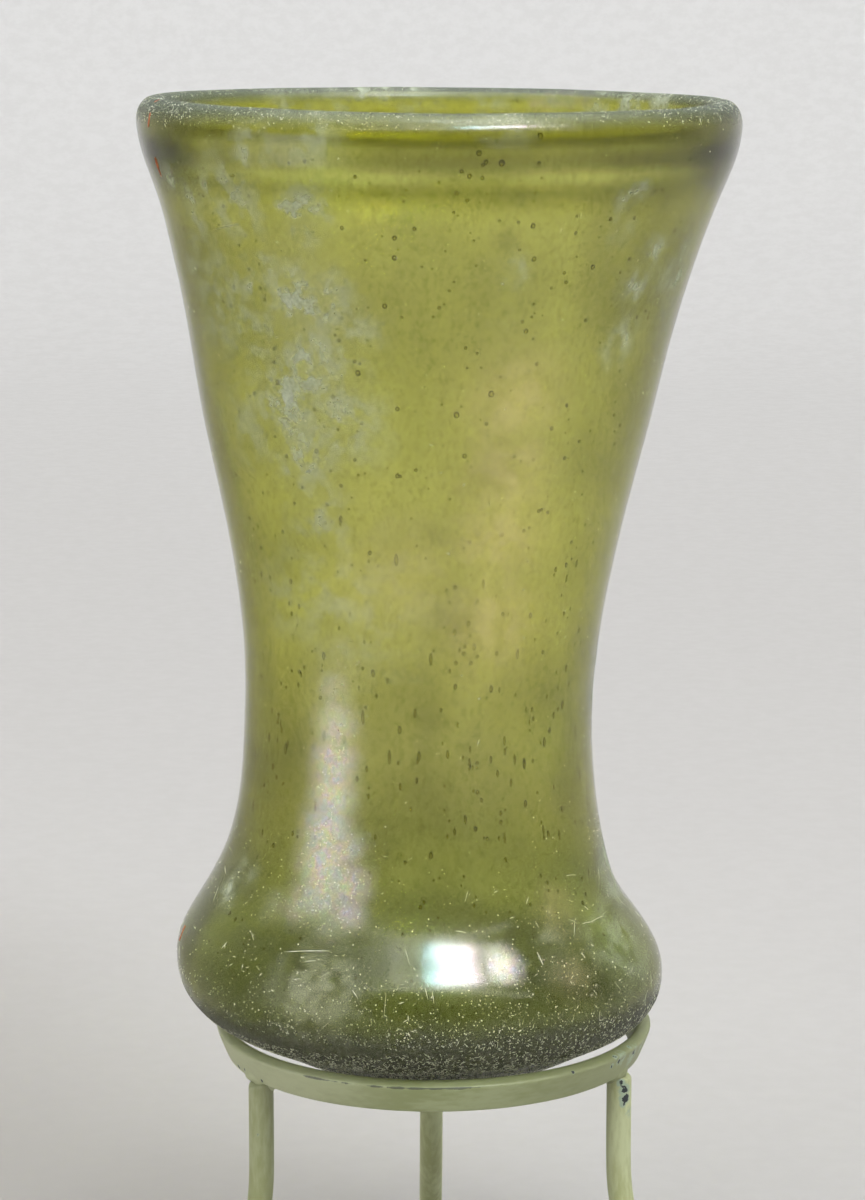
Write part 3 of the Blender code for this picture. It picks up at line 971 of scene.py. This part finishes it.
# %% Crushed glass
def crushed_glass(name, dark, pale, first_pale=0.44):
    """Chips of crushed glass, some dark and some pale."""
    material, tree, shader, place = start_material(name)
    tone = use_group(tree, crushed, place, First_Pale=first_pale)["Tone"]
    colour = mix_colours(tree, tone, dark, pale)
    set_inputs(tree, shader, Base_Color=colour, Roughness=fade(tree, tone, 0.0, 1.0, 0.35, 0.6))
    return material


worn_strokes = crushed_glass("worn_strokes", rgba(0.14, 0.15, 0.09), rgba(0.95, 0.97, 0.74), 0.36)
stroke_mat.data.materials.append(worn_strokes)
pale_crumbs = crushed_glass("pale_crumbs", rgba(0.26, 0.28, 0.11), rgba(0.97, 0.97, 0.84), 0.38)
crumb_field.data.materials.append(pale_crumbs)
nacre, tree, shader, place = start_material("nacre")
layers = use_group(tree, pearly_colours, place, Size=0.0009, Detail=2.0, Roughness=0.6)
set_inputs(tree, shader, Base_Color=layers["Color"], Roughness=0.4)
flake_field.data.materials.append(nacre)
print("fleck materials:", worn_strokes.name, pale_crumbs.name, nacre.name)

# %% [markdown]
# The longer scratches catch the light one by one. Each is a fine ridge of crushed glass: a curve
# through points that lie on the wall, thin at both ends, turned into a mesh.

# %% Scratches
SEEN_SCRATCHES = (
    ((284, 952), (330, 951), 0.10), ((304, 962), (316, 961), 0.08), ((293, 980), (302, 979), 0.07),
    ((352, 990), (358, 999), 0.08), ((386, 993), (384, 1018), 0.04), ((432, 991), (434, 1004), 0.07),
    ((568, 919), (578, 924), 0.05), ((582, 924), (591, 922), 0.06), ((591, 922), (603, 916), 0.07),
    ((584, 906), (588, 910), 0.08), ((581, 953), (585, 958), 0.10), ((537, 952), (543, 965), 0.12),
    ((468, 891), (465, 902), 0.06), ((494, 893), (498, 891), 0.08), ((456, 931), (466, 933), 0.07),
    ((566, 876), (576, 875), 0.06), ((212, 230), (240, 224), 0.05), ((425, 988), (428, 1000), 0.06),
)
LOOSE_SCRATCHES = 70
SCRATCH_POINTS = 7
SCRATCH_WIDENING = 1.5
SCRATCH_BOW = 0.5
LOOSE_HEIGHTS = 0.045, 0.066


def add_scratch(points, width):
    """A ridge along points on the wall, thin at its ends."""
    data = bpy.data.curves.new("scratch", "CURVE")
    data.dimensions = "3D"
    data.bevel_depth = 0.5
    data.bevel_resolution = 0
    data.use_fill_caps = True
    line = data.splines.new("POLY")
    line.points.add(len(points) - 1)
    for index, point in enumerate(points):
        line.points[index].co = (*point, 1.0)
        line.points[index].radius = width * (0.2 + 0.8 * math.sin(math.pi * (index + 0.5) / len(points)))
    return new_object("scratch", data)


scratches = []
for first, last, width in SEEN_SCRATCHES:
    line = []
    for step in range(SCRATCH_POINTS):
        share = step / (SCRATCH_POINTS - 1)
        bow = SCRATCH_BOW * math.sin(math.pi * share)
        pixel = [a + (b - a) * share for a, b in zip(first, last)]
        line.append(seen_on_glass(pixel[0], pixel[1] - bow)[0])
    scratches.append(add_scratch(line, SCRATCH_WIDENING * width * MM))
chance = random.Random(5)
for count in range(LOOSE_SCRATCHES):
    angle, height = any_angle(), chance.uniform(*LOOSE_HEIGHTS)
    turn, length = chance.uniform(-1.2, 1.2), chance.uniform(0.6, 2.4) * MM
    line = []
    for step in range(SCRATCH_POINTS):
        along = length * (step / (SCRATCH_POINTS - 1) - 0.5)
        moved = angle + along * math.cos(turn) / cad_high.x
        line.append(round_the_glass(moved, height + along * math.sin(turn))[0])
    scratches.append(add_scratch(line, chance.uniform(0.04, 0.09) * MM))
select_only(*scratches)
bpy.ops.object.convert(target="MESH")
bpy.ops.object.join()
scratch_lines = bpy.context.object
scratch_lines.name = "scratches"
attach(scratch_lines, "root")
print("scratches:", len(scratches), "faces:", len(scratch_lines.data.polygons))

scratched_glass = crushed_glass("scratched_glass", rgba(0.70, 0.72, 0.58), rgba(0.98, 0.98, 0.93))
scratch_lines.data.materials.append(scratched_glass)

# %% [markdown]
# The stand is a strip of metal bent into a ring, with three rods soldered under it and thick paint
# over all. A copy of each solid is subdivided with its sharp edges creased, then skinned by a voxel
# remesh and smoothed, which eases the edges as paint does. Before the ring's remesh, lumps of
# solder are joined to it at each rod, so that ring and solder are one surface.

# %% Stand
VOXEL = 0.00024
SOLDER_LUMPS = (
    (0.0273, 0.0389, -2.0, (0.0017, 0.0030, 0.0013)),
    (0.0270, 0.0380, 0.0, (0.0016, 0.0019, 0.0015)),
)
LEGS = ("front_left", "front_right", "back")
solder_noise = bpy.data.textures.new("solder_waves", "CLOUDS")
solder_noise.noise_scale = 0.002


def subdivided_copy(name, node_name):
    """A smooth copy of a stand's solid that keeps its edges."""
    piece = copy_of_node(name, node_name)
    bpy.ops.object.mode_set(mode="EDIT")
    bpy.ops.mesh.select_mode(type="EDGE")
    bpy.ops.mesh.select_all(action="DESELECT")
    bpy.ops.mesh.edges_select_sharp(sharpness=math.radians(40))
    bpy.ops.transform.edge_crease(value=1.0)
    bpy.ops.object.mode_set(mode="OBJECT")
    apply_modifier(piece, "SUBSURF", levels=2, render_levels=2)
    return piece


def skin_piece(piece, node_name, rounds):
    """Skins a piece anew, eases its edges and lets it take the place of its solid."""
    piece.data.remesh_voxel_size = VOXEL
    select_only(piece)
    bpy.ops.object.voxel_remesh()
    apply_modifier(piece, "SMOOTH", factor=0.5, iterations=rounds)
    shade_smooth(piece)
    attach(piece, "root")
    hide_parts(node_name)
    print(piece.name, "faces:", len(piece.data.polygons))


def add_solder(leg, out, height, side, size):
    """A lump of solder at a leg's joint, a few degrees to one side of it."""
    low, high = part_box("stand_leg_" + leg)
    middle = (low + high) / 2
    angle = math.atan2(middle.x, -middle.y) + math.radians(side)
    lump = add_shape(bpy.ops.mesh.primitive_ico_sphere_add, subdivisions=4, radius=1.0)
    away = off_axis(angle, 1.0, 0.0)
    turn = away.to_track_quat("X", "Z").to_matrix().to_4x4()
    centre = Matrix.Translation(off_axis(angle, out, height))
    lump.data.transform(centre @ turn @ Matrix.Diagonal((*size, 1.0)))
    apply_modifier(
        lump, "DISPLACE", texture=solder_noise, texture_coords="LOCAL", strength=0.6 * MM, mid_level=0.6
    )
    return lump


ring = subdivided_copy("painted_ring", "stand_ring")
lumps = [add_solder(leg, *lump) for leg in LEGS for lump in SOLDER_LUMPS]
select_only(ring, *lumps)
bpy.ops.object.join()
skin_piece(ring, "stand_ring", 4)
legs = []
for leg in LEGS:
    legs.append(subdivided_copy("painted_leg_" + leg, "stand_leg_" + leg))
    skin_piece(legs[-1], "stand_leg_" + leg, 6)

# %% [markdown]
# The paint was brushed on thickly, in a sage green that has yellowed. It has worn to dark metal
# along the ring's upper outer edge, and chipped at the right-hand joint. A group makes the brushed
# coat for the ring and the legs, and each material adds its own wear.
# The ring's paint is painted lighter on the left and darker on the right, and each leg is given
# its own painted brightness, as light falls on the stand.

# %% Chips and wear on the stand
CHIP_DABS = (
    (632, 1056, 2.4, 0.6), (622, 1058, 2, 0.58), (640, 1048, 1.6, 0.54),
    (628, 1090, 1.8, 0.5), (630, 1112, 1.8, 0.5), (619, 1061, 0.6, 0.9), (633, 1053, 0.5, 0.9),
    (612, 1066, 0.6, 0.8), (621, 1083, 0.7, 1), (624, 1089, 1, 1), (625, 1098, 1, 1), (623, 1104, 0.6, 0.9),
    (615, 1057, 0.6, 0.9), (629, 1047, 0.5, 0.9), (239, 1067, 0.5, 1), (245, 1070, 0.4, 0.9),
    (573, 1072, 0.35, 1), (258, 1135, 0.3, 0.8), (268, 1112, 0.35, 0.5), (262, 1081, 0.4, 0.8),
)
WORN_EDGE = (
    (-37, 0), (-35, 0.85), (-22, 0.8), (-18, 0.5), (-14, 1), (6, 1), (12, 0.55), (34, 0.45), (40, 0.1),
    (180, 0.45), (320, 0.1), (323, 0),
)
BACK_CHIPS = 26
BACK_CHIP_TURN = math.radians(80), math.radians(280)
BACK_CHIP_HEIGHTS = 0.039, 0.042
EDGE_WEAR_START, EDGE_WEAR_END = 0.08 * MM, 0.32 * MM
shapes_now = bpy.context.evaluated_depsgraph_get()
stand_surfaces = [BVHTree.FromObject(piece, shapes_now) for piece in (ring, *legs)]


def seen_on_stand(x, y):
    """The first point of the stand that the camera sees at a pixel, or None."""
    hits = [surface.ray_cast(CAMERA_PLACE, sight_line(x, y)) for surface in stand_surfaces]
    hits = [hit for hit in hits if hit[0] is not None]
    return min(hits, key=lambda hit: hit[3])[0] if hits else None


chip_places = [(seen_on_stand(x, y), radius, strength) for x, y, radius, strength in CHIP_DABS]
print("chips that miss the stand:", [chip for chip, found in zip(CHIP_DABS, chip_places) if found[0] is None])
ring_places, normals = point_arrays(ring)
widest = ring_places[np.hypot(ring_places[:, 0], ring_places[:, 1]).argmax()]
edge_radius, edge_height = math.hypot(widest[0], widest[1]), widest[2]
print("worn edge at radius", round(edge_radius / MM, 2), "height", round(edge_height / MM, 2))
chance = random.Random(3)
for count in range(BACK_CHIPS):
    turn = chance.uniform(*BACK_CHIP_TURN)
    spot = off_axis(turn, edge_radius, chance.uniform(*BACK_CHIP_HEIGHTS))
    chip_places.append((spot, chance.uniform(0.4, 1.0), chance.uniform(0.6, 1.0)))
for piece in (ring, *legs):
    places, normals = point_arrays(piece)
    chips = np.zeros(len(places))
    for centre, radius, strength in chip_places:
        if centre is not None:
            chips = np.maximum(chips, dab(places, centre, radius * MM, strength))
    paint_points(piece, "chips", chips)
    outward = np.hypot(places[:, 0], places[:, 1])
    from_edge = np.hypot(outward - edge_radius, places[:, 2] - edge_height)
    turn = np.degrees(np.arctan2(places[:, 0], -places[:, 1]))
    turn = np.where(turn < WORN_EDGE[0][0], turn + 360, turn)
    worn = np.interp(turn, *zip(*WORN_EDGE))
    paint_points(piece, "edge_wear", worn * (1.0 - smooth_step(from_edge, EDGE_WEAR_START, EDGE_WEAR_END)))

# %% Brushed paint
brushed, given, result = new_group("brushed_coat", {"Grain": 0.0006}, ("Tone", "Height"))
hairs = noise(brushed, given["Position"], given["Grain"])
patches = noise(brushed, given["Position"], 0.004)
tone = calculate(brushed, "ADD", times(brushed, hairs, 0.4), times(brushed, patches, 0.6))
feed(brushed, result["Tone"], tone)
feed(brushed, result["Height"], hairs)

PAINTED_LIGHT_TONE = rgba(0.86, 0.90, 0.60)
PAINTED_SHADE_TONE = rgba(0.30, 0.32, 0.16)
PRIMER = rgba(0.48, 0.59, 0.42)
DARK_METAL = rgba(0.035, 0.042, 0.045)
SIDE_LIGHT_START, SIDE_LIGHT_END = 0.002, 0.022


def make_paint(name, light, dark, stretch, side_light=0.0):
    """Brushed paint with painted light on one side and painted shade on the other, chipped down to the primer
    and to dark metal.
    """
    material, tree, shader, place = start_material(name)
    coat = use_group(tree, brushed, stretched(tree, place, stretch))
    tone = fade(tree, coat["Tone"], 0.38, 0.62)
    colour = mix_colours(tree, tone, dark, light)
    across = axes(tree, place)["X"]
    # Painted light and shade: the colour turns paler towards -X and darker towards +X.
    for side, shade in ((-1.0, PAINTED_LIGHT_TONE), (1.0, PAINTED_SHADE_TONE)):
        sideways = fade(tree, across, side * SIDE_LIGHT_START, side * SIDE_LIGHT_END, 0.0, side_light)
        colour = mix_colours(tree, sideways, colour, shade)
    flakes = noise(tree, place, 0.0006, 4.0, 0.8)
    primer = fade(tree, times(tree, painted(tree, "chips"), flakes), 0.17, 0.33)
    ragged = noise(tree, place, 0.0013, 4.0, 0.6)
    bare = fade(tree, times(tree, painted(tree, "chips"), ragged), 0.32, 0.38)
    rubbed = fade(tree, times(tree, painted(tree, "edge_wear"), noise(tree, place, 0.002)), 0.30, 0.42)
    colour = mix_colours(tree, primer, colour, PRIMER)
    bare = calculate(tree, "MAXIMUM", bare, times(tree, rubbed, 0.7))
    colour = mix_colours(tree, bare, colour, DARK_METAL)
    height = calculate(tree, "SUBTRACT", coat["Height"], bare)
    bump = set_inputs(tree, add_node(tree, "ShaderNodeBump"), Strength=0.5, Distance=0.06 * MM, Height=height)
    satin = fade(tree, tone, 0.0, 1.0, 0.42, 0.55)
    set_inputs(tree, shader, Base_Color=colour, Roughness=satin, Normal=bump["Normal"])
    return material


RING_LIGHT, RING_DARK = rgba(0.54, 0.60, 0.33), rgba(0.42, 0.47, 0.22)
LEG_LIGHT, LEG_DARK = (0.53, 0.57, 0.33), (0.41, 0.44, 0.21)
# Painted light: each leg's paint is scaled, the right and back legs brighter than the left one.
LEG_PAINTED_LIGHT = (1.0, 1.32, 1.40)
# Only the ring takes the painted light and shade from side to side.
ring.data.materials.append(make_paint("ring_paint", RING_LIGHT, RING_DARK, (0.3, 0.3, 1.0), 0.55))
for leg, tone in zip(legs, LEG_PAINTED_LIGHT):
    light, dark = (rgba(*(tone * part for part in colour)) for colour in (LEG_LIGHT, LEG_DARK))
    leg.data.materials.append(make_paint(leg.name + "_coat", light, dark, (1.0, 1.0, 0.25)))
print("paints:", [piece.data.materials[0].name for piece in (ring, *legs)])

# %% [markdown]
# A few smears of old red paint cling to the left side of the wall. Each is a small flat pat that
# lies on the glass.

# %% Red smears
SMEARS = ((157, 101, 0.6, 0.7), (149, 120, 0.6, 2.0), (158, 167, 0.7, 2.6), (182, 933, 0.7, 2.4))
SMEAR_LEAN = Vector((0.15, 0.0, 1.0))
SMEAR_DEPTH = 0.12 * MM
smear_pats = []
for x, y, width, length in SMEARS:
    point, normal = seen_on_glass(x, y)
    smear_pats.append(turned(point, normal, SMEAR_LEAN, (width * MM, SMEAR_DEPTH, length * MM)))
pat = add_shape(bpy.ops.mesh.primitive_ico_sphere_add, subdivisions=3, radius=0.5)
smears = scatter("red_smears", pat, smear_pats)
apply_modifier(
    smears, "DISPLACE", texture=solder_noise, texture_coords="LOCAL", strength=0.3 * MM, mid_level=0.5
)
shade_smooth(smears)
red, tree, shader, place = start_material("old_red_paint")
tone = noise(tree, place, 0.0008, 3.0)
colour = mix_colours(tree, tone, rgba(0.45, 0.10, 0.04), rgba(0.75, 0.22, 0.09))
set_inputs(tree, shader, Base_Color=colour, Alpha=fade(tree, tone, 0.35, 0.5, 0.5, 1.0), Roughness=0.7)
smears.data.materials.append(red)
